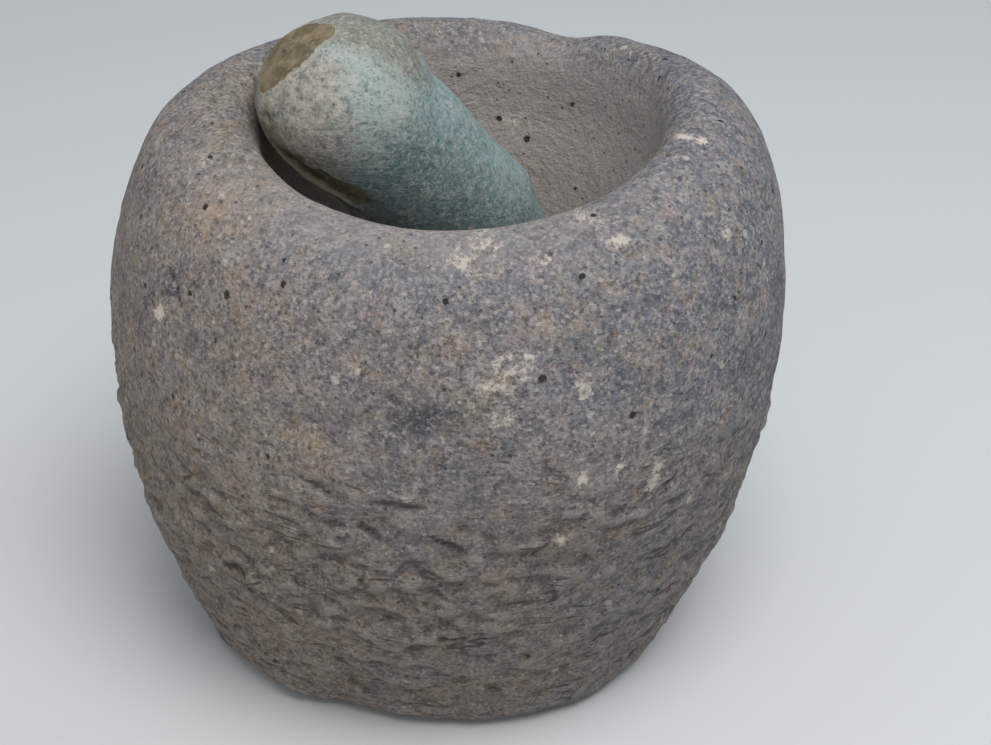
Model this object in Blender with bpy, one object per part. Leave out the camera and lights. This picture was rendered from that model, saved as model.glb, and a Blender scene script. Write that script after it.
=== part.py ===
# A deep stone mortar without feet, and the loose cobble pestle that leans in its bowl.
# Metres, +Z up. The origin is on the floor under the middle of the mortar. The front faces -Y.

import bpy
import bmesh
import numpy as np

# ---- The mortar's upright section: (radius, height) of rings from the base to the bottom of the bowl.
baseRings = ((0.114, 0.000), (0.134, 0.005), (0.143, 0.020))
wallRings = ((0.156, 0.054), (0.170, 0.103), (0.1775, 0.154), (0.178, 0.204), (0.1715, 0.243))
rimRings = ((0.1595, 0.2745), (0.1435, 0.2925), (0.1185, 0.300), (0.1045, 0.288))
bowlRings = ((0.0995, 0.262), (0.0895, 0.230), (0.074, 0.192), (0.046, 0.171), (0.0, 0.165))
mortarHeight = 0.300

# ---- How the stone departs from a turned shape.
mortarOval = 0.014        # two-lobed change of radius, as a fraction
mortarLobeX = -0.020      # three-lobed change of radius, as a fraction
mortarLobeY = -0.008
topShiftX = 0.017         # how far the top sits to the right of the base
topShiftY = 0.005         # and how far it sits to the rear
bowlShiftX = 0.0024       # how far the bowl sits off the middle of the rim
bowlShiftY = 0.0018
rimBackRise = 0.006       # the rear of the rim stands this much above its mean height, the front this much below
rimSideRise = 0.0075      # the two sides stand this much above it, the front and rear this much below
rimTwistRise = -0.0045    # the same again, turned by 45 degrees

mortarTurns = 56          # flat strips round the mortar
mortarBands = 34          # flat bands from the base's edge to the bottom of the bowl

# ---- The pestle, as it rests with its foot on the bowl's floor and its side on the wall.
pestleCentre = (-0.0136, 0.0180, 0.2574)
pestleLean = 40.8         # degrees from upright
pestleHeading = 197.7     # degrees; the way the top end leans, counted from +X towards +Y
pestleLength = 0.206
pestleFootRadius = 0.0362
pestleMidRadius = 0.0420
pestleTopRadius = 0.0466
pestleBluntness = 5.1     # higher is more square at the ends
pestleOval = 0.030        # the section is this fraction wider one way than the other

pestleTurns = 32
pestleBands = 22

# ---- Colours, as linear red, green and blue.
mortarColour = (0.165, 0.140, 0.135)
pestleColour = (0.250, 0.265, 0.215)


def clearScene():
    for item in list(bpy.data.objects):
        bpy.data.objects.remove(item, do_unlink=True)
    for item in list(bpy.data.meshes):
        bpy.data.meshes.remove(item)
    for item in list(bpy.data.materials):
        bpy.data.materials.remove(item)


def stoneMaterial(name, colour, roughness):
    material = bpy.data.materials.new(name)
    material.use_nodes = True
    shader = material.node_tree.nodes["Principled BSDF"]
    shader.inputs["Base Color"].default_value = (colour[0], colour[1], colour[2], 1.0)
    shader.inputs["Roughness"].default_value = roughness
    shader.inputs["Metallic"].default_value = 0.0
    return material


def smoothCurve(points, count):
    # A cubic through the points, relaxed at both ends, sampled at even steps along the curve.
    points = np.array(points, dtype=float)
    steps = np.sqrt(np.linalg.norm(np.diff(points, axis=0), axis=1))
    knots = np.concatenate([[0.0], np.cumsum(steps)])
    size = len(points)
    system = np.zeros((size, size))
    right = np.zeros((size, 2))
    system[0, 0] = 1.0
    system[-1, -1] = 1.0
    gaps = np.diff(knots)
    for row in range(1, size - 1):
        system[row, row - 1] = gaps[row - 1]
        system[row, row] = 2.0 * (gaps[row - 1] + gaps[row])
        system[row, row + 1] = gaps[row]
        after = (points[row + 1] - points[row]) / gaps[row]
        before = (points[row] - points[row - 1]) / gaps[row - 1]
        right[row] = 6.0 * (after - before)
    bend = np.linalg.solve(system, right)
    fine = np.linspace(0.0, knots[-1], 2001)
    piece = np.clip(np.searchsorted(knots, fine, side="right") - 1, 0, size - 2)
    gap = gaps[piece][:, None]
    low = (knots[piece + 1] - fine)[:, None]
    high = (fine - knots[piece])[:, None]
    start = points[piece]
    end = points[piece + 1]
    curve = (bend[piece] * low ** 3 + bend[piece + 1] * high ** 3) / (6.0 * gap)
    curve = curve + (start / gap - bend[piece] * gap / 6.0) * low
    curve = curve + (end / gap - bend[piece + 1] * gap / 6.0) * high
    along = np.concatenate([[0.0], np.cumsum(np.linalg.norm(np.diff(curve, axis=0), axis=1))])
    wanted = np.linspace(0.0, along[-1], count)
    return np.stack([np.interp(wanted, along, curve[:, 0]), np.interp(wanted, along, curve[:, 1])], axis=1)


def insideBowl(section):
    # Nought on the outside, one in the bowl, easing from one to the other over the rim.
    place = np.arange(len(section)) / (len(section) - 1.0)
    crest = place[np.argmax(section[:, 1])]
    ease = np.clip((place - crest) / 0.16 + 0.5, 0.0, 1.0)
    return (ease * ease * (3.0 - 2.0 * ease))[:, None]


def mortarGrid():
    # Rings of the turned section, swelled into lobes, leaned and given an uneven rim.
    section = smoothCurve(baseRings + wallRings + rimRings + bowlRings, mortarBands + 1)
    section[0] = baseRings[0]
    section[-1, 0] = 0.0
    angle = np.linspace(0.0, 2.0 * np.pi, mortarTurns + 1)[:-1][None, :]
    radius = section[:, 0][:, None]
    height = section[:, 1][:, None]
    level = np.clip(height / mortarHeight, 0.0, 1.0)
    swell = 1.0 + mortarOval * np.cos(2.0 * angle)
    swell = swell + mortarLobeX * np.cos(3.0 * angle) + mortarLobeY * np.sin(3.0 * angle)
    x = radius * swell * np.cos(angle) + topShiftX * level + bowlShiftX * insideBowl(section)
    y = radius * swell * np.sin(angle) + topShiftY * level + bowlShiftY * insideBowl(section)
    lift = rimBackRise * np.sin(angle) + rimSideRise * np.cos(2.0 * angle) + rimTwistRise * np.sin(2.0 * angle)
    # Near the bowl's bottom the uneven height fades out, so its rings close to one point.
    fade = np.clip(radius / 0.08, 0.0, 1.0)
    z = height + lift * level ** 3 * fade
    grid = np.stack([x, y, z + 0.0 * x], axis=-1)
    middle = 0.5 * (grid.reshape(-1, 3).min(axis=0) + grid.reshape(-1, 3).max(axis=0))
    return grid - np.array([middle[0], middle[1], 0.0])


def closedSkin(mesh, grid, capFirst):
    # Rings joined into one closed skin. The last ring shrinks to a point; the first is a flat face or a point.
    build = bmesh.new()
    rings, turns = grid.shape[0], grid.shape[1]
    inner = 0 if capFirst else 1
    rows = []
    for ring in range(inner, rings - 1):
        rows.append([build.verts.new(grid[ring, turn]) for turn in range(turns)])
    for lower, upper in zip(rows[:-1], rows[1:]):
        for turn in range(turns):
            after = (turn + 1) % turns
            build.faces.new((lower[turn], lower[after], upper[after], upper[turn]))
    tip = build.verts.new(grid[-1].mean(axis=0))
    for turn in range(turns):
        build.faces.new((rows[-1][turn], rows[-1][(turn + 1) % turns], tip))
    if capFirst:
        build.faces.new(list(reversed(rows[0])))
    else:
        start = build.verts.new(grid[0].mean(axis=0))
        for turn in range(turns):
            build.faces.new((rows[0][(turn + 1) % turns], rows[0][turn], start))
    flat = [face for face in build.faces if len(face.verts) > 4]
    bmesh.ops.triangulate(build, faces=[face for face in build.faces if len(face.verts) == 4])
    bmesh.ops.recalc_face_normals(build, faces=list(build.faces))
    for face in build.faces:
        face.smooth = face not in flat
    build.to_mesh(mesh)
    build.free()


def addPiece(name, grid, capFirst, origin, material):
    mesh = bpy.data.meshes.new(name)
    closedSkin(mesh, grid - np.array(origin), capFirst)
    mesh.materials.append(material)
    piece = bpy.data.objects.new(name, mesh)
    piece.location = origin
    bpy.context.scene.collection.objects.link(piece)
    return piece


def buildMortar():
    material = stoneMaterial("mortar", mortarColour, 0.85)
    return addPiece("mortar", mortarGrid(), True, (0.0, 0.0, 0.0), material)


def pestleGrid():
    # Rings square to a leaning axis, from the foot to the top end.
    lean = np.radians(pestleLean)
    heading = np.radians(pestleHeading)
    axis = np.array([np.sin(lean) * np.cos(heading), np.sin(lean) * np.sin(heading), np.cos(lean)])
    side = np.cross(axis, (0.0, 0.0, 1.0))
    side = side / np.linalg.norm(side)
    face = np.cross(axis, side)
    along = np.sin(np.linspace(-0.5 * np.pi, 0.5 * np.pi, pestleBands + 1))
    bulge = (pestleFootRadius + pestleTopRadius - 2.0 * pestleMidRadius) / 0.72
    taper = (pestleTopRadius - pestleFootRadius) / 1.2
    radius = pestleMidRadius + taper * along + bulge * along ** 2
    radius = radius * (1.0 - np.abs(along) ** pestleBluntness) ** 0.476
    angle = np.linspace(0.0, 2.0 * np.pi, pestleTurns + 1)[:-1]
    across = np.cos(angle)[None, :, None] * side * (1.0 + pestleOval)
    across = across + np.sin(angle)[None, :, None] * face * (1.0 - pestleOval)
    centre = np.array(pestleCentre) + (along * 0.5 * pestleLength)[:, None, None] * axis
    return centre + radius[:, None, None] * across


def buildPestle():
    material = stoneMaterial("pestle", pestleColour, 0.7)
    return addPiece("pestle", pestleGrid(), False, pestleCentre, material)


clearScene()
buildMortar()
buildPestle()
bpy.context.view_layer.update()
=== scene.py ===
import bpy
import numpy as np
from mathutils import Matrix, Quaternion, Vector


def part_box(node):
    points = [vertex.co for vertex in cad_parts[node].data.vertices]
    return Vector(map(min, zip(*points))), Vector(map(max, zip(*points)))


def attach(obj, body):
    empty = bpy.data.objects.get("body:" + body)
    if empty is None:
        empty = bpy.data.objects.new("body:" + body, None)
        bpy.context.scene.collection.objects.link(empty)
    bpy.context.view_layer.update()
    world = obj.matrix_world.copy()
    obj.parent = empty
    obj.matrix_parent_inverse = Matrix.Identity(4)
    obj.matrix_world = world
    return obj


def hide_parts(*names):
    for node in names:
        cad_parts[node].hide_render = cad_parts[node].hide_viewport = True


# A deep stone mortar without feet, with its cobble pestle leaning in the bowl.
# Metres, +Z up, front towards -Y. Both pieces are worked out as grids of rings.

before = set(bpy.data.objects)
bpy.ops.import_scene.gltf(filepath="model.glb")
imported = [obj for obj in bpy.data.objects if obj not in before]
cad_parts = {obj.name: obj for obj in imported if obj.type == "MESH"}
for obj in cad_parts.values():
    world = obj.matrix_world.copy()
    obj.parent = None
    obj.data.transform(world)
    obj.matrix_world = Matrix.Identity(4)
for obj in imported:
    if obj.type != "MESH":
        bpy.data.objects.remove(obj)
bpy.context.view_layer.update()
print("stage 1: frame loaded,", len(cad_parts), "nodes")


def ease(low, high, value):
    # 0 at low, 1 at high, with a soft start and end; low may be the larger of the two
    part = np.clip((value - low) / (high - low), 0.0, 1.0)
    return part * part * (3.0 - 2.0 * part)


def cellNumber(cell, seed):
    # a repeatable number from 0 to 1 for each whole-number cell of space
    mixed = cell[..., 0] * 374761393 + cell[..., 1] * 668265263
    mixed = mixed + cell[..., 2] * 1440662683 + seed * 362437
    mixed = mixed & 0xffffffff
    mixed = ((mixed ^ (mixed >> 13)) * 1274126177) & 0xffffffff
    mixed = ((mixed ^ (mixed >> 15)) * 668265263) & 0xffffffff
    return ((mixed ^ (mixed >> 16)) & 0xffff) / 65535.0


def lumps(points, size, seed):
    # soft lumps from -1 to 1: numbers at the corners of cubes of that size, eased from corner to corner
    place = points / size + seed * 0.371
    cell = np.floor(place).astype(np.int64)
    part = place - cell
    part = part ** 3 * (part * (part * 6.0 - 15.0) + 10.0)
    total = np.zeros(points.shape[:-1])
    for corner in range(8):
        step = np.array([corner & 1, (corner >> 1) & 1, (corner >> 2) & 1])
        share = np.where(step == 1, part, 1.0 - part).prod(axis=-1)
        total += share * cellNumber(cell + step, seed)
    return 2.0 * total - 1.0


def layeredLumps(points, size, seed, layers):
    # lumps on lumps: each layer is half the size and a little over half the height of the last
    total = np.zeros(points.shape[:-1])
    height = 1.0
    for layer in range(layers):
        total += height * lumps(points, size, seed + layer)
        points = points[..., [1, 2, 0]]
        size = size * 0.5
        height = height * 0.55
    return total


def dents(points, size, seed, share):
    # round dents: a share of the cubes of that size hold one dent each, deepest (1) in its middle
    place = points / size
    cell = np.floor(place).astype(np.int64)
    deepest = np.zeros(points.shape[:-1])
    for offset in np.ndindex(3, 3, 3):
        near = cell + np.array(offset) - 1
        middle = np.stack([near[..., axis] + 0.15 + 0.7 * cellNumber(near, seed + axis) for axis in range(3)], axis=-1)
        reach = 0.35 + 0.45 * cellNumber(near, seed + 5)
        away = np.linalg.norm(place - middle, axis=-1) / reach
        held = cellNumber(near, seed + 9) < share
        deepest = np.maximum(deepest, np.where(held, np.clip(1.0 - away * away, 0.0, 1.0), 0.0))
    return deepest


def squashed(points, amount):
    # the same places with height counted that much more, so what is worked out on them comes out flatter
    return points * np.array([1.0, 1.0, amount])


def smoothCurve(points, count):
    # a cubic through the points, relaxed at both ends, as a dense line with its running length
    points = np.array(points, dtype=float)
    knots = np.concatenate([[0.0], np.cumsum(np.sqrt(np.linalg.norm(np.diff(points, axis=0), axis=1)))])
    gaps = np.diff(knots)
    size = len(points)
    system = np.eye(size)
    right = np.zeros((size, 2))
    for row in range(1, size - 1):
        before = (points[row] - points[row - 1]) / gaps[row - 1]
        after = (points[row + 1] - points[row]) / gaps[row]
        system[row, row - 1:row + 2] = gaps[row - 1], 2.0 * (gaps[row - 1] + gaps[row]), gaps[row]
        right[row] = 6.0 * (after - before)
    bend = np.linalg.solve(system, right)
    fine = np.linspace(0.0, knots[-1], count)
    piece = np.clip(np.searchsorted(knots, fine, side="right") - 1, 0, size - 2)
    gap = gaps[piece][:, None]
    low = (knots[piece + 1] - fine)[:, None]
    high = (fine - knots[piece])[:, None]
    curve = (bend[piece] * low ** 3 + bend[piece + 1] * high ** 3) / (6.0 * gap)
    curve = curve + (points[piece] / gap - bend[piece] * gap / 6.0) * low
    curve = curve + (points[piece + 1] / gap - bend[piece + 1] * gap / 6.0) * high
    along = np.concatenate([[0.0], np.cumsum(np.linalg.norm(np.diff(curve, axis=0), axis=1))])
    return curve, along


def gridNormals(grid):
    # the outward direction at each point: round the ring crossed with along the section
    alongStep = np.gradient(grid, axis=0)
    roundStep = np.roll(grid, -1, axis=1) - np.roll(grid, 1, axis=1)
    normals = np.cross(roundStep, alongStep)
    return normals / (np.linalg.norm(normals, axis=-1, keepdims=True) + 1e-12)


def blurred(values, reach):
    # the mean over a square of rings and strips, used to tell hollows from high spots
    total = np.zeros_like(values)
    for step in range(-reach, reach + 1):
        total += np.roll(values, step, axis=1)
    values = total / (2 * reach + 1)
    padded = np.pad(values, ((reach, reach), (0, 0)), mode="edge")
    summed = np.cumsum(np.vstack([np.zeros((1, values.shape[1])), padded]), axis=0)
    return (summed[2 * reach + 1:] - summed[:-2 * reach - 1]) / (2 * reach + 1)


def closedSkin(name, grid, attributes):
    # rings joined into one closed skin, with a point where the first and the last ring shrink to nothing
    rings, turns = grid.shape[:2]
    points = np.concatenate([grid.reshape(-1, 3), grid[:1].mean(axis=1), grid[-1:].mean(axis=1)])
    number = np.arange(rings * turns).reshape(rings, turns)
    after = np.roll(number, -1, axis=1)
    walls = np.stack([number[:-1], after[:-1], after[1:], number[1:]], axis=-1).reshape(-1, 4)
    first = np.stack([after[0], number[0], np.full(turns, rings * turns)], axis=-1)
    last = np.stack([number[-1], after[-1], np.full(turns, rings * turns + 1)], axis=-1)
    mesh = bpy.data.meshes.new(name)
    mesh.from_pydata(points.tolist(), [], walls.tolist() + first.tolist() + last.tolist())
    mesh.polygons.foreach_set("use_smooth", np.ones(len(mesh.polygons), dtype=bool))
    for label, values in attributes.items():
        flat = np.concatenate([values.reshape(-1), [values[0].mean(), values[-1].mean()]])
        layer = mesh.attributes.new(label, "FLOAT", "POINT")
        layer.data.foreach_set("value", flat.astype(np.float32))
    mesh.update()
    piece = bpy.data.objects.new(name, mesh)
    bpy.context.scene.collection.objects.link(piece)
    return piece


class Wire:
    # one value inside a material; arithmetic on it adds Math nodes
    def __init__(self, paint, socket):
        self.paint = paint
        self.socket = socket

    def __add__(self, other):
        return self.paint.math("ADD", self, other)

    def __sub__(self, other):
        return self.paint.math("SUBTRACT", self, other)

    def __rsub__(self, other):
        return self.paint.math("SUBTRACT", other, self)

    def __mul__(self, other):
        return self.paint.math("MULTIPLY", self, other)

    __radd__ = __add__
    __rmul__ = __mul__

    def top(self, other):
        return self.paint.math("MAXIMUM", self, other)

    def size(self):
        return self.paint.add("ShaderNodeMath", {"operation": "ABSOLUTE"}, {0: self})

    def ease(self, low, high):
        # 0 at low, 1 at high, soft at both ends
        return self.paint.add("ShaderNodeMapRange", {"interpolation_type": "SMOOTHSTEP"},
                              {0: self, 1: low, 2: high, 3: 0.0, 4: 1.0})


class Paint:
    # one material with its named colours, and the ways to add nodes to it
    def __init__(self, name, tones):
        self.tones = tones
        self.material = bpy.data.materials.new(name)
        self.material.use_nodes = True
        self.tree = self.material.node_tree
        self.shader = self.tree.nodes["Principled BSDF"]
        self.place = self.add("ShaderNodeTexCoord", {}, {}, "Object")

    def add(self, kind, settings, inputs, output=0):
        # any node: its settings first, then a value or a link for each socket named
        node = self.tree.nodes.new(kind)
        for label, value in settings.items():
            setattr(node, label, value)
        for label, value in inputs.items():
            if isinstance(value, Wire):
                self.tree.links.new(value.socket, node.inputs[label])
            else:
                node.inputs[label].default_value = value
        return Wire(self, node.outputs[output])

    def math(self, operation, first, second):
        return self.add("ShaderNodeMath", {"operation": operation}, {0: first, 1: second})

    def tone(self, name):
        return (*self.tones[name], 1.0)

    def mix(self, amount, first, second):
        # sockets 0, 6 and 7 are the amount and the two colours, and output 2 is the colour that comes out
        return self.add("ShaderNodeMix", {"data_type": "RGBA", "blend_type": "MIX"},
                        {0: amount, 6: first, 7: second}, 2)

    def blend(self, amount, first, second):
        # from one named colour to another
        return self.mix(amount, self.tone(first), self.tone(second))

    def over(self, colour, amount, name):
        # a named colour laid over what is there, as far as the amount
        return self.mix(amount, colour, self.tone(name))

    def shifted(self, amount):
        # the same place moved sideways, so a second noise differs from the first
        return self.add("ShaderNodeVectorMath", {"operation": "ADD"}, {0: self.place, 1: (amount, amount, amount)})

    def stretched(self, turn, scale):
        return self.add("ShaderNodeMapping", {"vector_type": "POINT"}, {0: self.place, 2: turn, 3: scale})

    def away(self, point):
        return self.add("ShaderNodeVectorMath", {"operation": "DISTANCE"}, {0: self.place, 1: point}, "Value")

    def noise(self, size, detail=3.0, rough=0.55, place=None, warp=0.0):
        # cloudy noise whose lumps are about that size in metres, centred on 0.5
        return self.add("ShaderNodeTexNoise", {"noise_dimensions": "3D"},
                        {"Vector": place or self.place, "Scale": 1.0 / size, "Detail": detail, "Roughness": rough,
                         "Distortion": warp})

    def cells(self, size, output, place=None):
        # the distance or the colour of the nearest of many scattered points, about that far apart in metres
        return self.add("ShaderNodeTexVoronoi", {"voronoi_dimensions": "3D", "feature": "F1"},
                        {"Vector": place or self.place, "Scale": 1.0 / size, "Randomness": 1.0}, output)

    def chance(self, colour, channel):
        # one channel of a cell's random colour, as a number from 0 to 1
        return self.add("ShaderNodeSeparateColor", {"mode": "RGB"}, {0: colour}, channel)

    def attribute(self, name):
        return self.add("ShaderNodeAttribute", {"attribute_type": "GEOMETRY", "attribute_name": name}, {}, "Fac")

    def bump(self, height, depth):
        return self.add("ShaderNodeBump", {}, {"Strength": 1.0, "Distance": depth, "Height": height}, "Normal")

    def feed(self, label, value):
        if isinstance(value, Wire):
            self.tree.links.new(value.socket, self.shader.inputs[label])
        else:
            self.shader.inputs[label].default_value = value


mortar = {
    "around": 404,                # strips round the stone
    "baseRings": 12,              # rings across the flat underside
    "wallStep": 0.0022,           # spacing of rings up the wall and over the rim
    "bowlStep": 0.0034,           # spacing of rings down the bowl
    "fineReach": 0.030,           # how far past the top of the rim the close rings go
    "turnOver": 0.045,            # half the length over which the outside becomes the bowl
    # half the section, from the edge of the base up over the rim and down to the middle of the bowl: radius, height
    "section": [(0.114, 0.000), (0.134, 0.005), (0.143, 0.020), (0.156, 0.054), (0.170, 0.103), (0.1775, 0.154),
                (0.178, 0.204), (0.1715, 0.243), (0.1595, 0.2745), (0.1435, 0.2925), (0.1185, 0.300),
                (0.1045, 0.288), (0.0995, 0.262), (0.0895, 0.230), (0.074, 0.192), (0.046, 0.171), (0.0, 0.165)],
    "height": 0.300,
    "oval": 0.014,                # two-lobed swelling of the plan
    "lobe": (-0.020, -0.008),     # three-lobed swelling of the plan
    "topShift": (0.017, 0.005),   # the top sits this far off the base
    "bowlShift": (0.0024, 0.0018),
    "rimRise": (0.006, 0.0075, -0.0045),   # rear over front, sides over rear and front, and that turned by 45 degrees
    "roughLine": 0.190,           # below about this height the wall is left as it was broken and pecked
    "ledge": 0.0018,              # height of the broken ledges
    "ledgeSize": 0.021,           # from one ledge to the next
    "ledgeLip": 0.22,             # the share of that which the drop below a lip takes
    "ledgeLean": (0.30, -0.30, 1.0),   # the ledges run level, sloping a little one way round the stone
    "crumble": 0.0016,            # height of the lumps between them
    "peck": 0.0011,               # depth of the peck marks
    "crack": 0.0014,              # depth of the open cracks
    "wave": 0.0016,               # height of the block's broad lumps
    "reliefDepth": 0.0007,        # a rise or a hollow this deep gets the full colour of one

    # swells and hollows of the block: bearing in degrees, height, half width, half height, how far out
    "swells": [(100, 0.300, 0.050, 0.030, 0.0018), (62, 0.298, 0.016, 0.030, -0.0036),
               (80, 0.300, 0.020, 0.030, 0.0016), (47, 0.300, 0.020, 0.030, 0.0018),
               (28, 0.304, 0.035, 0.030, 0.0018), (10, 0.306, 0.035, 0.030, 0.0012),
               (163, 0.306, 0.030, 0.030, 0.0016), (201, 0.195, 0.050, 0.050, -0.0025),
               (215, 0.058, 0.030, 0.030, -0.0016), (231, 0.018, 0.020, 0.030, 0.0034),
               (246, 0.015, 0.020, 0.030, -0.0020), (284, 0.010, 0.050, 0.030, 0.0036),
               (306, 0.006, 0.025, 0.014, 0.0026), (210, 0.100, 0.035, 0.030, 0.0018),
               (261, 0.217, 0.016, 0.012, -0.0040), (250, 0.206, 0.022, 0.010, -0.0020),
               (214, 0.250, 0.018, 0.016, -0.0016), (232, 0.110, 0.060, 0.045, 0.0018),
               (20, 0.150, 0.050, 0.050, -0.0022), (150, 0.110, 0.060, 0.050, 0.0020),
               (95, 0.170, 0.070, 0.060, -0.0018)],

    # open cracks: bearing in degrees, height, half length, half width, slope in degrees, strength
    "cracks": [(268, 0.150, 0.012, 0.0017, -29, 1.0), (254, 0.124, 0.005, 0.0016, -45, 1.0),
               (259.5, 0.173, 0.014, 0.0022, -3, 0.8), (255.5, 0.155, 0.011, 0.0019, -37, 0.7),
               (266, 0.118, 0.010, 0.0018, -30, 0.7), (270, 0.083, 0.008, 0.0018, -5, 0.7),
               (227, 0.111, 0.010, 0.0019, -40, 0.7), (214, 0.252, 0.013, 0.0018, -45, 0.7),
               (304, 0.170, 0.008, 0.0018, 35, 0.6), (247, 0.178, 0.010, 0.0018, -22, 0.6),
               (240, 0.140, 0.009, 0.0018, -35, 0.6), (282, 0.108, 0.012, 0.0018, -4, 0.6),
               (312, 0.120, 0.010, 0.0018, 30, 0.6), (298, 0.284, 0.006, 0.0012, -35, 0.6),
               (60, 0.130, 0.012, 0.0019, 20, 0.7), (120, 0.090, 0.010, 0.0019, -25, 0.7),
               (165, 0.130, 0.012, 0.0019, 12, 0.7)],

    # cream mineral patches: bearing in degrees, height, half width, half height, strength
    "cream": [(212, 0.236, 0.004, 0.006, 1.5), (202, 0.296, 0.007, 0.004, 0.7), (268, 0.282, 0.011, 0.004, 0.75),
              (274, 0.286, 0.009, 0.003, 0.6), (284, 0.283, 0.011, 0.003, 0.65), (295, 0.293, 0.005, 0.002, 0.8),
              (298, 0.287, 0.009, 0.002, 0.9), (332, 0.3045, 0.0045, 0.0012, 1.4), (320, 0.279, 0.006, 0.011, 0.75),
              (278, 0.244, 0.014, 0.011, 0.85), (273, 0.236, 0.007, 0.005, 0.7), (288, 0.230, 0.008, 0.008, 0.8),
              (276, 0.219, 0.008, 0.007, 0.95), (288, 0.185, 0.0035, 0.0055, 1.5), (294, 0.188, 0.0045, 0.0045, 1.2),
              (301, 0.181, 0.005, 0.007, 1.1), (300, 0.170, 0.004, 0.005, 1.1), (286, 0.148, 0.0035, 0.006, 1.4),
              (240, 0.262, 0.006, 0.004, 0.6), (252, 0.240, 0.005, 0.004, 0.7), (222, 0.096, 0.006, 0.005, 0.9),
              (309, 0.152, 0.004, 0.006, 1.0), (262, 0.176, 0.007, 0.004, 0.8), (290, 0.208, 0.005, 0.004, 0.8),
              (70, 0.250, 0.010, 0.008, 0.8), (120, 0.200, 0.012, 0.007, 0.8), (150, 0.262, 0.006, 0.005, 1.1),
              (40, 0.140, 0.005, 0.008, 1.0), (10, 0.230, 0.011, 0.009, 0.7), (170, 0.150, 0.008, 0.006, 0.8),
              (100, 0.110, 0.006, 0.009, 0.8), (345, 0.160, 0.007, 0.005, 0.8)],

    # warm tan stains, in the same order
    "tan": [(216, 0.283, 0.022, 0.012, 0.9), (236, 0.262, 0.020, 0.012, 0.5), (246, 0.196, 0.022, 0.014, 0.6),
            (234, 0.150, 0.030, 0.018, 0.5), (284, 0.262, 0.028, 0.012, 0.6), (222, 0.110, 0.030, 0.020, 0.6),
            (258, 0.105, 0.030, 0.014, 0.6), (269, 0.160, 0.012, 0.006, 0.8), (256, 0.164, 0.012, 0.006, 0.7),
            (245, 0.075, 0.030, 0.018, 0.7), (275, 0.128, 0.020, 0.010, 0.5), (230, 0.060, 0.035, 0.020, 0.6),
            (290, 0.085, 0.030, 0.016, 0.45), (212, 0.150, 0.030, 0.028, 0.5), (204, 0.215, 0.022, 0.022, 0.55),
            (307, 0.262, 0.016, 0.010, 0.6), (300, 0.240, 0.014, 0.010, 0.5), (30, 0.210, 0.040, 0.020, 0.6),
            (110, 0.240, 0.040, 0.018, 0.6), (140, 0.130, 0.035, 0.025, 0.6), (70, 0.120, 0.030, 0.020, 0.5),
            (180, 0.200, 0.030, 0.020, 0.5)],

    # dark bluish hollows, in the same order
    "dark": [(262, 0.217, 0.012, 0.009, 1.0), (266, 0.224, 0.008, 0.006, 0.7), (257, 0.206, 0.009, 0.006, 0.7),
             (213, 0.250, 0.010, 0.007, 0.8), (208, 0.240, 0.007, 0.009, 0.6), (247, 0.160, 0.016, 0.006, 0.5),
             (300, 0.200, 0.014, 0.008, 0.5), (318, 0.215, 0.016, 0.012, 0.45), (335, 0.235, 0.016, 0.014, 0.5),
             (272, 0.262, 0.014, 0.005, 0.45), (228, 0.225, 0.014, 0.008, 0.4), (335, 0.180, 0.020, 0.018, 0.5),
             (326, 0.205, 0.045, 0.034, 0.40), (85, 0.303, 0.075, 0.012, 0.34), (18, 0.303, 0.050, 0.012, 0.34),
             (206, 0.222, 0.013, 0.010, 0.6), (222, 0.232, 0.010, 0.008, 0.5), (268, 0.196, 0.014, 0.008, 0.55),
             (251, 0.218, 0.010, 0.007, 0.5), (60, 0.180, 0.016, 0.012, 0.7), (140, 0.230, 0.014, 0.010, 0.6),
             (105, 0.150, 0.018, 0.012, 0.6)],

    # open gas pits outside and in the bowl: bearing in degrees, height, radius
    "pits": [(213, 0.286, 0.0019), (198, 0.268, 0.0016), (226, 0.258, 0.0021), (218, 0.253, 0.0019),
             (236, 0.269, 0.0015), (234, 0.277, 0.0014), (202, 0.2985, 0.0014), (296, 0.213, 0.0021),
             (323, 0.174, 0.0020), (318, 0.249, 0.0016), (311, 0.229, 0.0013), (282, 0.238, 0.0018),
             (204, 0.205, 0.0018), (330, 0.262, 0.0015)],
    "bowlPits": [(51, 0.266, 0.0020), (76, 0.251, 0.0018), (65, 0.243, 0.0022), (90, 0.275, 0.0018),
                 (40, 0.225, 0.0016)],

    "cloudSize": 0.075,           # metres across, here and in the next few
    "blotchSize": 0.017,
    "mottleSize": 0.0058,
    "speckSize": 0.0022,
    "grainSize": 0.0016,
    "pitSize": 0.0165,            # spacing of the scattered pits
    "poreSize": 0.0046,           # spacing of the fine pores
    "bumpDepth": 0.0023,
    "tones": {
        "coolGround": (0.158, 0.163, 0.182),
        "warmGround": (0.225, 0.190, 0.158),
        "paleBlotch": (0.275, 0.232, 0.208),
        "darkBlotch": (0.105, 0.104, 0.120),
        "rust": (0.285, 0.195, 0.125),
        "mauve": (0.215, 0.168, 0.195),
        "moss": (0.215, 0.200, 0.130),
        "slate": (0.112, 0.122, 0.160),
        "paleMottle": (0.365, 0.315, 0.285),
        "darkMottle": (0.078, 0.074, 0.080),
        "earth": (0.218, 0.178, 0.126),
        "tan": (0.350, 0.246, 0.160),
        "blueShade": (0.062, 0.066, 0.085),
        "paleSpeck": (0.430, 0.380, 0.350),
        "darkSpeck": (0.048, 0.046, 0.052),
        "paleGrain": (0.500, 0.440, 0.400),
        "darkGrain": (0.048, 0.046, 0.054),
        "wornHighAndHighlight": (0.350, 0.305, 0.272),
        "hollow": (0.060, 0.052, 0.050),
        "bowlDust": (0.405, 0.362, 0.322),
        "cream": (0.640, 0.555, 0.470),
        "fleck": (0.560, 0.500, 0.440),
        "pit": (0.016, 0.014, 0.014),
        "crack": (0.034, 0.028, 0.026),
    },
}


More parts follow.
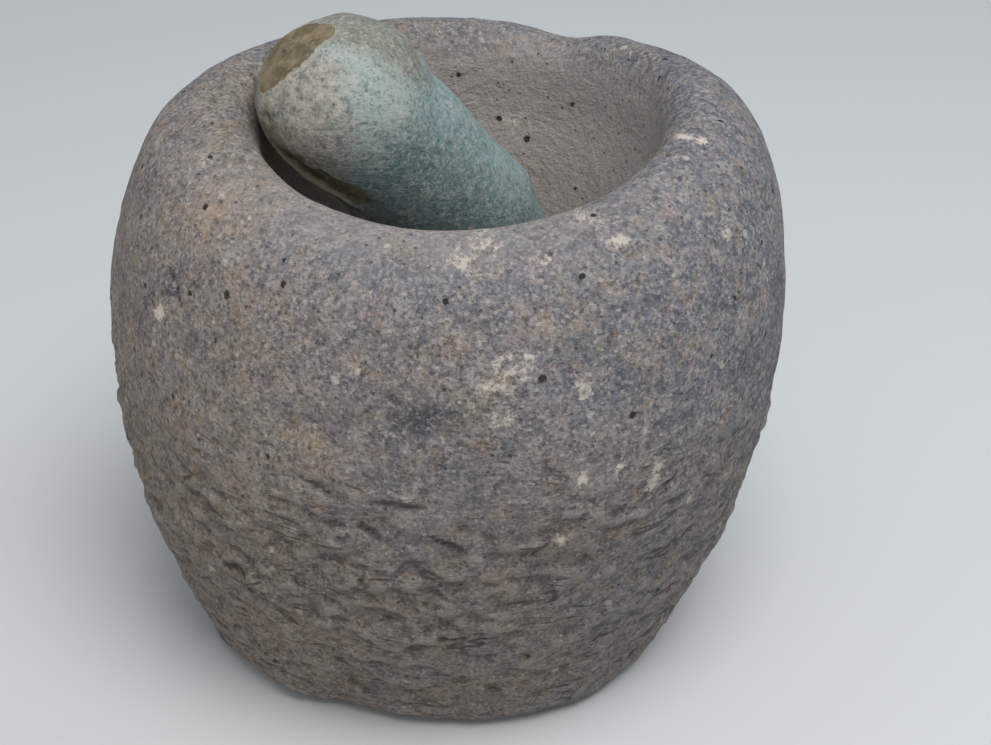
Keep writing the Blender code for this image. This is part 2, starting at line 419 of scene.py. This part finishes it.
def ringPlace(points, where, height):
    # how far each point lies along the wall and up it from a bearing and height, in metres
    bearing = np.linspace(0.0, 2.0 * np.pi, points.shape[1] + 1)[None, :-1]
    turn = np.angle(np.exp(1j * (bearing - np.radians(where))))
    return turn * np.hypot(points[..., 0], points[..., 1]), points[..., 2] - height


def cracks(points, marks):
    # each crack is a thin sloping stroke, even along its length and falling off across it
    total = np.zeros(points.shape[:-1])
    wobble = 0.0012 * lumps(points, 0.006, 97)
    for where, height, halfLength, halfWidth, slope, strength in marks:
        across, up = ringPlace(points, where, height)
        lean = np.radians(slope)
        along = across * np.cos(lean) + up * np.sin(lean)
        off = up * np.cos(lean) - across * np.sin(lean) + wobble
        total = np.maximum(total, strength * np.exp(-(along / halfLength) ** 4 - (off / halfWidth) ** 2))
    return total


def spots(points, patches):
    # the sum of soft ovals laid on the wall: each falls off with bearing round its ring and height from its middle
    total = np.zeros(points.shape[:-1])
    for where, height, halfWidth, halfHeight, strength in patches:
        across, up = ringPlace(points, where, height)
        total += strength * np.exp(-(across / halfWidth) ** 2 - (up / halfHeight) ** 2)
    return total


def mortarRings():
    # the smooth stone: a turned section, swelled into lobes, leaned, with an uneven rim and a flat underside
    curve, along = smoothCurve(mortar["section"], 4001)
    crestLength = along[np.argmax(curve[:, 1])]
    wallEnd = crestLength + mortar["fineReach"]
    bowlRings = int((along[-1] - wallEnd) / mortar["bowlStep"])
    wall = np.arange(0.0, wallEnd, mortar["wallStep"])
    bowl = np.linspace(wallEnd, along[-1] - 0.002, bowlRings)   # the last ring is 2 mm from the middle
    wanted = np.concatenate([wall, bowl])
    section = np.stack([np.interp(wanted, along, curve[:, 0]), np.interp(wanted, along, curve[:, 1])], axis=1)
    underside = np.linspace(0.004, mortar["section"][0][0], mortar["baseRings"], endpoint=False)
    section = np.concatenate([np.stack([underside, 0.0 * underside], axis=1), section])
    angle = np.linspace(0.0, 2.0 * np.pi, mortar["around"] + 1)[:-1][None, :]
    radius = section[:, 0][:, None]
    height = section[:, 1][:, None]
    level = np.clip(height / mortar["height"], 0.0, 1.0)
    swell = 1.0 + mortar["oval"] * np.cos(2.0 * angle)
    swell = swell + mortar["lobe"][0] * np.cos(3.0 * angle) + mortar["lobe"][1] * np.sin(3.0 * angle)
    past = np.concatenate([np.zeros(mortar["baseRings"]), wanted])[:, None] - crestLength
    inside = ease(-mortar["turnOver"], mortar["turnOver"], past)   # 0 outside, 1 in the bowl
    x = radius * swell * np.cos(angle) + mortar["topShift"][0] * level + mortar["bowlShift"][0] * inside
    y = radius * swell * np.sin(angle) + mortar["topShift"][1] * level + mortar["bowlShift"][1] * inside
    rise = mortar["rimRise"]
    lift = rise[0] * np.sin(angle) + rise[1] * np.cos(2.0 * angle) + rise[2] * np.sin(2.0 * angle)
    z = height + lift * level ** 3 * np.clip(radius / 0.08, 0.0, 1.0)   # none in the middle of the bowl
    grid = np.stack([x, y, z + 0.0 * x], axis=-1)
    # centred on its node seen from above
    lowest, highest = (np.array(corner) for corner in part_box("mortar"))
    middle = 0.5 * (lowest + highest) - 0.5 * (grid.reshape(-1, 3).min(axis=0) + grid.reshape(-1, 3).max(axis=0))
    return grid + np.array([middle[0], middle[1], 0.0]), inside + 0.0 * x


def ledges(points, spacing, seed):
    # broken ledges, 0 to 1: each rises slowly down the wall and drops back at once below its lip
    lip = mortar["ledgeLip"]
    wander = 0.7 * lumps(points, spacing * 2.4, seed) + 0.45 * layeredLumps(points, spacing * 0.9, seed + 1, 2)
    climb = points @ np.array(mortar["ledgeLean"]) + spacing * wander
    step = climb / spacing
    step = step - np.floor(step)
    return np.where(step < lip, ease(0.0, lip, step), 1.0 - (step - lip) / (1.0 - lip))


def carveMortar(grid, inside):
    # the worked surface: broad lumps, then ledges, crumbs and peck marks low on the wall, all along the normal
    outward = gridNormals(grid)
    height = grid[..., 2]
    wander = 0.030 * layeredLumps(grid, 0.060, 3, 2)
    low = ease(mortar["roughLine"] + 0.035, mortar["roughLine"] - 0.060, height + wander) * (1.0 - inside)

    broad = mortar["wave"] * (layeredLumps(grid, 0.095, 11, 2) + 0.35 * lumps(grid, 0.028, 15))
    out = broad + spots(grid, mortar["swells"]) * ease(0.95, 0.55, inside)
    out = out - mortar["crack"] * cracks(grid, mortar["cracks"]) * (1.0 - inside)

    # the rough part fades towards the base's edge
    patches = ease(-0.15, 0.55, lumps(squashed(grid, 1.5), 0.045, 21))
    smallPatches = ease(-0.15, 0.50, lumps(grid, 0.026, 25))
    large = patches * ledges(grid, mortar["ledgeSize"], 31)
    small = smallPatches * ledges(grid, 0.5 * mortar["ledgeSize"], 35)
    broken = large + 0.55 * small - 0.5
    crumbs = layeredLumps(squashed(grid, 1.25), 0.016, 39, 3)
    pecks = dents(squashed(grid, 1.3), 0.012, 41, 0.45)
    low = low * (0.35 + 0.65 * ease(0.0, 0.030, height))
    out = out + low * (mortar["ledge"] * broken + mortar["crumble"] * crumbs - mortar["peck"] * pecks)

    # the smoother part has fine lumps and shallow dents
    smallPecks = dents(grid, 0.0080, 51, 0.4)
    out = out + (1.0 - low) * (0.00030 * layeredLumps(grid, 0.010, 61, 2) - 0.0004 * smallPecks * (1.0 - inside))
    out = out - 0.0005 * dents(grid, 0.020, 71, 0.25) * (1.0 - low)

    # the underside stays flat, and the bowl is ground smooth
    grip = ease(0.0, 0.006, height)
    worn = inside * ease(0.300, 0.282, height)
    out = out * grip * (1.0 - 0.75 * worn)
    carved = grid + outward * out[..., None]
    carved[..., 2] = np.maximum(carved[..., 2], 0.0)
    fine = out - blurred(out, 2)
    return carved, np.clip(fine / mortar["reliefDepth"], -1.0, 1.0), low


def pitPoints(grid, inside):
    # where each pit sits on the stone: the nearest ring point to its bearing and height, outside or in the bowl
    found = []
    for marks, within in ((mortar["pits"], inside < 0.5), (mortar["bowlPits"], inside > 0.5)):
        for where, height, radius in marks:
            strip = int(round(where / 360.0 * grid.shape[1])) % grid.shape[1]
            off = np.abs(grid[:, strip, 2] - height) + np.where(within[:, strip], 0.0, 1.0)
            found.append((tuple(float(part) for part in grid[np.argmin(off), strip]), radius))
    return found


def mortarStone(pits):
    # speckled lava stone: blue-grey, mauve and tan clouds, pale and dark grains, open pits and cream patches
    paint = Paint("mortarStone", mortar["tones"])
    cream = paint.attribute("cream")
    tan = paint.attribute("tan")
    dark = paint.attribute("dark")
    relief = paint.attribute("relief")
    rough = paint.attribute("rough")
    bowl = paint.attribute("bowl")
    warmSideAndPaintedLight = paint.attribute("warmSideAndPaintedLight")
    cloud = paint.noise(mortar["cloudSize"], 3.0, 0.6, warp=0.4)
    blotch = paint.noise(mortar["blotchSize"], 4.0, 0.65, warp=0.3)
    mottle = paint.noise(mortar["mottleSize"], 4.0, 0.7)
    speck = paint.noise(mortar["speckSize"], 4.0, 0.75)
    # the tint carries the painted warm light on the left and cool light on the right, as well as the stone's own
    # clouds
    tint = ((cloud - 0.5) * 1.6 + warmSideAndPaintedLight).ease(0.1, 0.9)
    colour = paint.blend(tint, "coolGround", "warmGround")
    colour = paint.over(colour, blotch.ease(0.48, 0.62) * 0.55, "paleBlotch")
    colour = paint.over(colour, blotch.ease(0.47, 0.34) * 0.58, "darkBlotch")
    rust = paint.noise(0.013, 4.0, 0.65, paint.shifted(0.31)).ease(0.52, 0.66)
    colour = paint.over(colour, rust * (0.42 + tint * 0.28 + rough * 0.22), "rust")
    mauve = paint.noise(0.015, 3.0, 0.65, paint.shifted(0.13)).ease(0.54, 0.68)
    colour = paint.over(colour, mauve * 0.60, "mauve")
    moss = paint.noise(0.022, 3.0, 0.65, paint.shifted(0.47)).ease(0.56, 0.70)
    colour = paint.over(colour, moss * 0.55, "moss")
    slate = paint.noise(0.010, 4.0, 0.65, paint.shifted(0.77)).ease(0.54, 0.68)
    colour = paint.over(colour, slate * (0.72 - tint * 0.30), "slate")
    colour = paint.over(colour, mottle.ease(0.50, 0.63) * 0.52, "paleMottle")
    colour = paint.over(colour, mottle.ease(0.47, 0.35) * 0.62, "darkMottle")
    colour = paint.over(colour, rough * (0.16 + tint * 0.26), "earth")
    stain = (tan * paint.noise(0.009, 3.0, 0.7).ease(0.25, 0.75)).ease(0.05, 0.75)
    colour = paint.over(colour, stain * 0.76, "tan")
    shade = (dark * (0.3 + (1.0 - mottle) * 1.4)).ease(0.10, 0.90)
    colour = paint.over(colour, shade * 0.78, "blueShade")

    # fine speckle, and a few separate mineral grains
    colour = paint.over(colour, speck.ease(0.51, 0.65) * 0.54, "paleSpeck")
    colour = paint.over(colour, speck.ease(0.47, 0.35) * 0.72, "darkSpeck")
    grainColour = paint.cells(mortar["grainSize"], "Color")
    colour = paint.over(colour, paint.chance(grainColour, 0).ease(0.86, 1.0) * 0.45, "paleGrain")
    colour = paint.over(colour, paint.chance(grainColour, 1).ease(0.86, 1.0) * 0.50, "darkGrain")

    # high spots are paler, partly wear and partly painted highlight; hollows hold dust and painted shade; the ground
    # bowl is dusty
    colour = paint.over(colour, relief.ease(0.10, 0.9) * 0.42, "wornHighAndHighlight")
    colour = paint.over(colour, relief.ease(-0.20, -1.0) * 0.46, "hollow")
    colour = paint.over(colour, bowl * 0.70, "bowlDust")

    # cream mineral, broken up by its own grain
    broken = paint.noise(0.0052, 5.0, 0.80)
    patch = (cream * 0.60 + (broken - 0.5) * 3.0).ease(0.34, 0.66) * cream.ease(0.06, 0.30)
    colour = paint.over(colour, patch * (0.48 + cream * 0.32), "cream")
    fleckCells = paint.cells(0.013, "Color")
    fleckAway = paint.cells(0.013, "Distance")
    fleck = paint.chance(fleckCells, 0).ease(0.78, 0.84) * (fleckAway + (broken - 0.5) * 0.6).ease(0.20, 0.06)
    colour = paint.over(colour, fleck * 0.65, "fleck")

    # open gas pits, a few millimetres across, and finer pores, painted near black as the shade inside them
    pitPlace = paint.stretched((0.3, 0.2, 0.5), (1.0, 1.0, 0.8))
    pitAway = paint.cells(mortar["pitSize"], "Distance", pitPlace)
    pitPick = paint.chance(paint.cells(mortar["pitSize"], "Color", pitPlace), 0)
    pit = pitPick.ease(0.52, 0.56) * (pitAway + (broken - 0.5) * 0.22).ease(0.095, 0.055) * (1.0 - rough * 0.5)
    poreAway = paint.cells(mortar["poreSize"], "Distance")
    porePick = paint.chance(paint.cells(mortar["poreSize"], "Color"), 2)
    pore = porePick.ease(0.80, 0.84) * poreAway.ease(0.22, 0.12)
    holes = pit.top(pore * 0.50)
    for point, radius in pits:
        holes = holes.top((paint.away(point) + (broken - 0.5) * 0.006).ease(radius * 0.95, radius * 0.55))
    colour = paint.over(colour, holes * 0.92, "pit")

    # short dark cracks under the broken edges, leaning with the ledges, painted dark as the shade in the cracks and
    # beneath the ledges
    crackPlace = paint.stretched((0.28, 0.28, 0.0), (0.50, 0.50, 1.9))
    crackLine = paint.noise(0.030, 2.0, 0.55, crackPlace, 0.3)
    crackHere = paint.noise(0.019, 1.0, 0.5, paint.shifted(0.53)).ease(0.54, 0.62)
    crack = (crackLine - 0.5).size().ease(0.020, 0.004) * crackHere * (0.10 + rough * 0.90)
    crack = crack.top(paint.attribute("crack").ease(0.15, 0.75))
    colour = paint.over(colour, crack * 0.72, "crack")

    paint.feed("Base Color", colour)
    paint.feed("Roughness", 0.80 + holes * 0.12 - relief.ease(0.2, 1.0) * 0.10)
    paint.feed("Metallic", 0.0)
    paint.feed("Specular IOR Level", 0.35)
    crumble = paint.noise(0.0105, 5.0, 0.72, crackPlace)
    height = speck * 0.45 + mottle * 0.95 + blotch * 0.50 + crumble * (0.35 + rough * 2.9)
    height = height - holes * 1.10 - crack * 0.8
    paint.feed("Normal", paint.bump(height, mortar["bumpDepth"]))
    return paint.material


def buildMortar():
    smooth, inside = mortarRings()
    carved, relief, low = carveMortar(smooth, inside)
    # warmer low down and towards the left, cooler towards the right and the rim: partly the stone's own tone, partly
    # painted light, warm from the left and cool from the right
    height = smooth[..., 2]
    lean = 0.5 - smooth[..., 0] / 0.36 - 0.42 * ease(0.22, 0.31, height) * (1.0 - inside)
    lean = lean + 0.15 * ease(0.12, 0.02, height)
    marks = {"cream": spots(smooth, mortar["cream"]), "tan": spots(smooth, mortar["tan"]), "relief": relief,
             "dark": spots(smooth, mortar["dark"]), "crack": cracks(smooth, mortar["cracks"]) * (1.0 - inside),
             "rough": low, "bowl": inside * ease(0.305, 0.280, height), "warmSideAndPaintedLight": lean}
    piece = closedSkin("mortarStone", carved, marks)
    piece.data.materials.append(mortarStone(pitPoints(carved, inside)))
    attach(piece, "mortar")
    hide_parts("mortar")
    print("stage 2: mortar,", len(piece.data.polygons), "faces")


pestle = {
    "around": 300,                # strips round it
    "rings": 260,                 # rings along it
    "centre": (-0.0136, 0.0180, 0.2574),
    "lean": 40.8,                 # degrees from upright
    "heading": 197.7,             # bearing of the top end
    "length": 0.206,
    "radii": (0.0362, 0.0420, 0.0466),   # foot, middle, top
    "bluntness": 5.1,             # how late the ends round off
    "oval": 0.030,                # wider across than it is deep
    "wave": 0.0007,               # height of its soft lumps
    "flakeDepth": 0.0030,         # how deep the flake on its side is struck
    "underDepth": 0.0040,         # and how hollow it is below the flake
    "lipHeight": 0.0006,          # the flake's sharp edge
    "deepest": 0.0045,            # nothing is cut deeper than this, apart from the worn end
    # swells and hollows: place along (-1 foot, 1 top), bearing round it, half length, half turn, how far out
    "swells": [(0.60, 272, 0.11, 26, 0.0028), (0.37, 250, 0.13, 30, -0.0026), (-0.38, 250, 0.20, 32, 0.0036),
               (0.95, 280, 0.05, 30, -0.0016), (0.45, 126, 0.20, 14, -0.0010), (0.70, 170, 0.14, 28, 0.0010),
               (0.20, 190, 0.16, 30, -0.0012), (0.97, 10, 0.07, 62, 0.0042), (0.90, 108, 0.09, 18, 0.0012),
               (0.30, 120, 0.14, 16, -0.0008), (0.42, 272, 0.05, 26, 0.0022), (-0.46, 262, 0.10, 30, 0.0012),
               (0.875, 113, 0.018, 5, -0.0030), (0.88, 238, 0.012, 7, -0.0012)],
    "endCut": (1.0, 0.326, -0.075),      # the brown flat's facing: along, to the side, to the underside
    "endReach": 0.0889,                  # its distance from the middle of the pestle
    "endShare": 0.30,                    # how much of what stands beyond it is worn away
    "endSoft": 0.0005,                   # how round its edge is

    "cloudSize": 0.045,           # metres across, here and in the next few
    "blotchSize": 0.012,
    "mottleSize": 0.0048,
    "speckSize": 0.0020,
    "bumpDepth": 0.0011,
    "tones": {
        "shadyTeal": (0.122, 0.186, 0.195),
        "litTeal": (0.212, 0.300, 0.305),
        "dullBeige": (0.245, 0.240, 0.208),
        "paleBeige": (0.365, 0.322, 0.276),
        "mint": (0.310, 0.375, 0.340),
        "olive": (0.205, 0.208, 0.165),
        "darkBlotch": (0.125, 0.135, 0.115),
        "paleBlotch": (0.340, 0.350, 0.290),
        "paleMottle": (0.420, 0.405, 0.350),
        "darkMottle": (0.086, 0.096, 0.086),
        "paleSpeck": (0.480, 0.460, 0.410),
        "darkSpeck": (0.055, 0.064, 0.057),
        "paleRim": (0.400, 0.375, 0.290),
        "darkOchre": (0.120, 0.088, 0.045),
        "ochre": (0.235, 0.180, 0.098),
        "ochreMottle": (0.300, 0.250, 0.160),
        "ochreSpeck": (0.060, 0.045, 0.026),
        "deepStainAndShade": (0.086, 0.084, 0.048),
        "paleStainAndShade": (0.225, 0.205, 0.125),
        "lip": (0.400, 0.385, 0.240),
    },
}


def pestleRings():
    # rings square to the leaning axis; their radius swells towards the top end and closes bluntly at both ends
    lean = np.radians(pestle["lean"])
    heading = np.radians(pestle["heading"])
    axis = np.array([np.sin(lean) * np.cos(heading), np.sin(lean) * np.sin(heading), np.cos(lean)])
    side = np.cross(axis, (0.0, 0.0, 1.0))
    side = side / np.linalg.norm(side)
    face = np.cross(axis, side)
    along = np.sin(np.linspace(-0.5, 0.5, pestle["rings"] + 2)[1:-1] * np.pi)
    foot, middle, top = pestle["radii"]
    radius = middle + (top - foot) / 1.2 * along + (foot + top - 2.0 * middle) / 0.72 * along ** 2
    radius = radius * (1.0 - np.abs(along) ** pestle["bluntness"]) ** 0.476
    angle = np.linspace(0.0, 2.0 * np.pi, pestle["around"] + 1)[:-1]
    across = np.cos(angle)[None, :, None] * side * (1.0 + pestle["oval"])
    across = across + np.sin(angle)[None, :, None] * face * (1.0 - pestle["oval"])
    spine = np.array(pestle["centre"]) + (along * 0.5 * pestle["length"])[:, None, None] * axis
    return spine + radius[:, None, None] * across, along, angle, (axis, side, face)


def spotOn(where, turn, place, bearing, halfLength, halfTurn):
    # 1 at one place on the pestle, falling off along it and round it
    apart = (turn - bearing + 180.0) % 360.0 - 180.0
    return np.exp(-((where - place) / halfLength) ** 2 - (apart / halfTurn) ** 2)


def wearPestle(grid, along, angle, frameAxes):
    # a river cobble: soft lumps, a flat ground on the top end, and a long flake struck off one side
    outward = gridNormals(grid)
    turn = np.degrees(angle)[None, :] + 0.0 * along[:, None]
    where = along[:, None] + 0.0 * turn
    out = pestle["wave"] * layeredLumps(grid, 0.050, 81, 2) + 0.00020 * layeredLumps(grid, 0.009, 83, 2)
    for place, bearing, halfLength, halfTurn, rise in pestle["swells"]:
        out = out + rise * spotOn(where, turn, place, bearing, halfLength, halfTurn)

    # the flake's lower lip wanders across the side as it runs down it
    lip = 126.0 - 50.0 * (where - 0.30) + 2.0 * layeredLumps(grid, 0.012, 87, 2)
    beyond = turn - lip
    flakeLength = ease(0.20, 0.36, where) * ease(0.78, 0.62, where)
    flake = flakeLength * ease(0.0, 2.0, beyond) * ease(24.0, 17.0, beyond + 6.0 * layeredLumps(grid, 0.010, 89, 2))
    ridge = ease(0.18, 0.32, where) * ease(0.88, 0.74, where) * np.exp(-((beyond + 1.0) / 2.6) ** 2)
    # below the lip the stone is darkened, partly as stain and partly as painted shade
    under = ease(0.10, 0.30, where) * ease(1.0, 0.90, where) * ease(-2.0, -9.0, beyond) * ease(-95.0, -55.0, beyond)
    out = out - pestle["flakeDepth"] * flake * ease(26.0, 4.0, beyond) + pestle["lipHeight"] * ridge
    hollowLength = pestle["underDepth"] * ease(0.05, 0.25, where) * ease(0.78, 0.60, where)
    out = out - hollowLength * ease(-1.0, -9.0, beyond) * ease(-60.0, -38.0, beyond)

    # no stone is added where the pestle rests: at its foot, and against the bowl's left side
    rest = np.maximum(0.85 * ease(-0.45, -0.75, where), spotOn(where, turn, 0.77, 54.0, 0.11, 30.0))
    out = np.minimum(out, out * (1.0 - rest))
    out = np.maximum(out, -pestle["deepest"])
    worn = grid + outward * out[..., None]

    # the worn end: part of what stands beyond a sloping flat is taken off
    axis, side, face = frameAxes
    cut = pestle["endCut"][0] * axis + pestle["endCut"][1] * side + pestle["endCut"][2] * face
    cut = cut / np.linalg.norm(cut)
    over = (worn - np.array(pestle["centre"])) @ cut - pestle["endReach"] + 0.0005 * layeredLumps(grid, 0.010, 91, 2)
    soft = pestle["endSoft"]
    worn = worn - cut * (pestle["endShare"] * soft * np.logaddexp(0.0, over / soft))[..., None]

    # the brown skin stops short of the end's far edge
    farEdge = 0.900 + 0.068 * np.sqrt(0.5 + 0.5 * np.cos(np.radians(turn - 10.0)))
    brown = np.minimum(over / 0.001, (where - farEdge) * 250.0)
    # how far round it each point lies, from 0 to 1, folded back past the far side so that it closes on itself
    part = turn / 360.0
    folded = np.where(part < 0.78, np.maximum(part, 0.30), 0.78 - (part - 0.78) * 0.48 / 0.22)
    # near where it rests on the bowl's rim the darkening is partly painted shade
    under = np.maximum(under, 0.8 * spotOn(where, turn, 0.84, 112, 0.11, 17) * ease(-4.0, 2.0, beyond))
    return worn, {"flake": flake, "ridge": ridge, "under": under, "brownFlat": np.clip(brown, -8.0, 8.0),
                  "along": where, "folded": folded}


def pestleStone():
    # fine greenish stone: beige speckle and mint at the top, then darker, blue-green towards the foot
    paint = Paint("pestleStone", pestle["tones"])
    along = paint.attribute("along")
    turn = paint.attribute("folded")
    flake = paint.attribute("flake")
    ridge = paint.attribute("ridge")
    under = paint.attribute("under")
    brownFlat = paint.attribute("brownFlat")
    cloud = paint.noise(pestle["cloudSize"], 3.0, 0.55, warp=0.4)
    blotch = paint.noise(pestle["blotchSize"], 4.0, 0.65)
    mottle = paint.noise(pestle["mottleSize"], 4.0, 0.70)
    speck = paint.noise(pestle["speckSize"], 4.0, 0.75)
    drift = (cloud - 0.5) * 0.35 + (blotch - 0.5) * 0.30
    # the lower part is darker, partly its own blue-green and partly painted shade, with painted light along its upper
    # side
    teal = paint.blend((turn + drift * 0.15).ease(0.53, 0.66), "shadyTeal", "litTeal")
    beige = paint.blend(mottle.ease(0.38, 0.62), "dullBeige", "paleBeige")
    across = turn + drift * 0.26 - along * 0.40 + 0.28
    upper = paint.over(beige, across.ease(0.42, 0.56), "mint")
    upper = paint.over(upper, (turn + drift * 0.12).ease(0.59, 0.67), "olive")
    colour = paint.mix((along + drift * 0.9 + turn * 0.12).ease(0.40, 0.66), teal, upper)
    colour = paint.over(colour, blotch.ease(0.45, 0.30) * 0.40, "darkBlotch")
    colour = paint.over(colour, blotch.ease(0.55, 0.70) * 0.35, "paleBlotch")
    colour = paint.over(colour, mottle.ease(0.52, 0.64) * 0.50, "paleMottle")
    colour = paint.over(colour, mottle.ease(0.47, 0.33) * 0.52, "darkMottle")
    colour = paint.over(colour, speck.ease(0.52, 0.65) * 0.45, "paleSpeck")
    colour = paint.over(colour, speck.ease(0.47, 0.35) * 0.62, "darkSpeck")

    # the ground end is ochre with a jagged edge and a pale rim
    jag = (paint.noise(0.0065, 4.0, 0.75) - 0.5) * 12.0
    rim = (brownFlat + jag * 0.5).ease(-2.6, -0.8)
    colour = paint.over(colour, rim * 0.45, "paleRim")
    brown = (brownFlat + jag * 0.5).ease(-0.5, 0.2)
    ochre = paint.blend(blotch.ease(0.40, 0.62), "darkOchre", "ochre")
    ochre = paint.over(ochre, mottle.ease(0.52, 0.68) * 0.5, "ochreMottle")
    ochre = paint.over(ochre, speck.ease(0.46, 0.30) * 0.6, "ochreSpeck")
    colour = paint.mix(brown, colour, ochre)

    # stain in the flake; below it, down to where it rests on the rim, stain and painted shade; and the flake's pale
    # sharp lip
    stain = paint.blend(mottle.ease(0.40, 0.60), "deepStainAndShade", "paleStainAndShade")
    colour = paint.mix((under + (blotch - 0.5) * 1.2).ease(0.25, 0.75) * 0.78, colour, stain)
    colour = paint.mix(flake.ease(0.15, 0.50), colour, stain)
    colour = paint.over(colour, (ridge * (0.6 + mottle * 0.8)).ease(0.30, 0.70) * 0.92, "lip")

    paint.feed("Base Color", colour)
    paint.feed("Roughness", 0.60 + speck * 0.16 - brown * 0.04)
    paint.feed("Metallic", 0.0)
    paint.feed("Specular IOR Level", 0.45)
    scratch = paint.noise(0.0045, 3.0, 0.65, paint.stretched((0.0, 0.75, 0.3), (0.35, 1.4, 1.4)))
    height = speck * 0.50 + mottle * 0.55 + blotch * 0.35 + scratch * 0.60 + rim * 0.30 - brown * 0.50
    paint.feed("Normal", paint.bump(height, pestle["bumpDepth"]))
    return paint.material


def buildPestle():
    smooth, along, angle, frameAxes = pestleRings()
    worn, marks = wearPestle(smooth, along, angle, frameAxes)
    piece = closedSkin("pestleStone", worn, marks)
    piece.data.materials.append(pestleStone())
    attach(piece, "pestle")
    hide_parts("pestle")
    print("stage 3: pestle,", len(piece.data.polygons), "faces")


studio = {
    "floorHalf": 12.0,            # half the floor's width
    "tones": {"floor": (0.62, 0.63, 0.62), "world": (0.78, 0.85, 0.95)},
    "worldPower": 0.54,
    # name, place, what it points at, width, power, colour
    "lights": [("topLight", (0.35, -0.80, 2.1), (0.0, 0.0, 0.2), 1.4, 34.5, (1.0, 0.985, 0.965)),
               ("windowLight", (1.4, 0.1, 2.0), (0.0, 0.0, 0.2), 1.2, 4.5, (0.70, 0.85, 1.0)),
               ("roomLight", (-1.7, -1.3, 0.65), (0.0, 0.0, 0.15), 1.2, 3.6, (1.0, 0.80, 0.58))],
    "camera": (-0.0081, -0.8135, 0.6468),
    "aim": (0.0268, 0.0000, 0.1384),
    "roll": -0.39,                # degrees
    "lens": 61.56,                # millimetres
    "sensor": 36.0,               # millimetres wide
}


def buildFloor():
    # a wide flat pale floor
    steps = np.linspace(-studio["floorHalf"], studio["floorHalf"], 13)
    x, y = np.meshgrid(steps, steps)
    points = np.stack([x, y, 0.0 * x], axis=-1)
    number = np.arange(points.shape[0] * points.shape[1]).reshape(points.shape[:2])
    faces = np.stack([number[:-1, :-1], number[:-1, 1:], number[1:, 1:], number[1:, :-1]], axis=-1).reshape(-1, 4)
    mesh = bpy.data.meshes.new("floor")
    mesh.from_pydata(points.reshape(-1, 3).tolist(), [], faces.tolist())
    mesh.polygons.foreach_set("use_smooth", np.ones(len(mesh.polygons), dtype=bool))
    floor = bpy.data.objects.new("floor", mesh)
    bpy.context.scene.collection.objects.link(floor)
    paint = Paint("floorPaint", studio["tones"])
    paint.feed("Base Color", paint.tone("floor"))
    paint.feed("Roughness", 0.85)
    mesh.materials.append(paint.material)


def aimed(place, aim):
    # the turn that points a lamp or a camera from one place at another
    return (Vector(aim) - Vector(place)).to_track_quat("-Z", "Y")


def addLight(name, place, aim, width, power, colour):
    light = bpy.data.lights.new(name, "AREA")
    light.shape = "DISK"
    light.size = width
    light.energy = power
    light.color = colour
    lamp = bpy.data.objects.new(name, light)
    lamp.location = place
    lamp.rotation_mode = "QUATERNION"
    lamp.rotation_quaternion = aimed(place, aim)
    bpy.context.scene.collection.objects.link(lamp)


def buildStudio():
    scene = bpy.context.scene
    scene.view_settings.view_transform = "Standard"
    world = bpy.data.worlds.new("studioWorld")
    world.use_nodes = True
    world.node_tree.nodes["Background"].inputs[0].default_value = (*studio["tones"]["world"], 1.0)
    world.node_tree.nodes["Background"].inputs[1].default_value = studio["worldPower"]
    scene.world = world
    for light in studio["lights"]:
        addLight(*light)
    camera = bpy.data.objects.new("viewCamera", bpy.data.cameras.new("viewCamera"))
    camera.data.lens = studio["lens"]
    camera.data.sensor_width = studio["sensor"]
    camera.location = studio["camera"]
    camera.rotation_mode = "QUATERNION"
    roll = Quaternion((0.0, 0.0, 1.0), np.radians(studio["roll"]))
    camera.rotation_quaternion = aimed(studio["camera"], studio["aim"]) @ roll
    scene.collection.objects.link(camera)
    scene.camera = camera
    print("stage 4: floor, lights and camera")


buildMortar()
buildPestle()
buildFloor()
buildStudio()
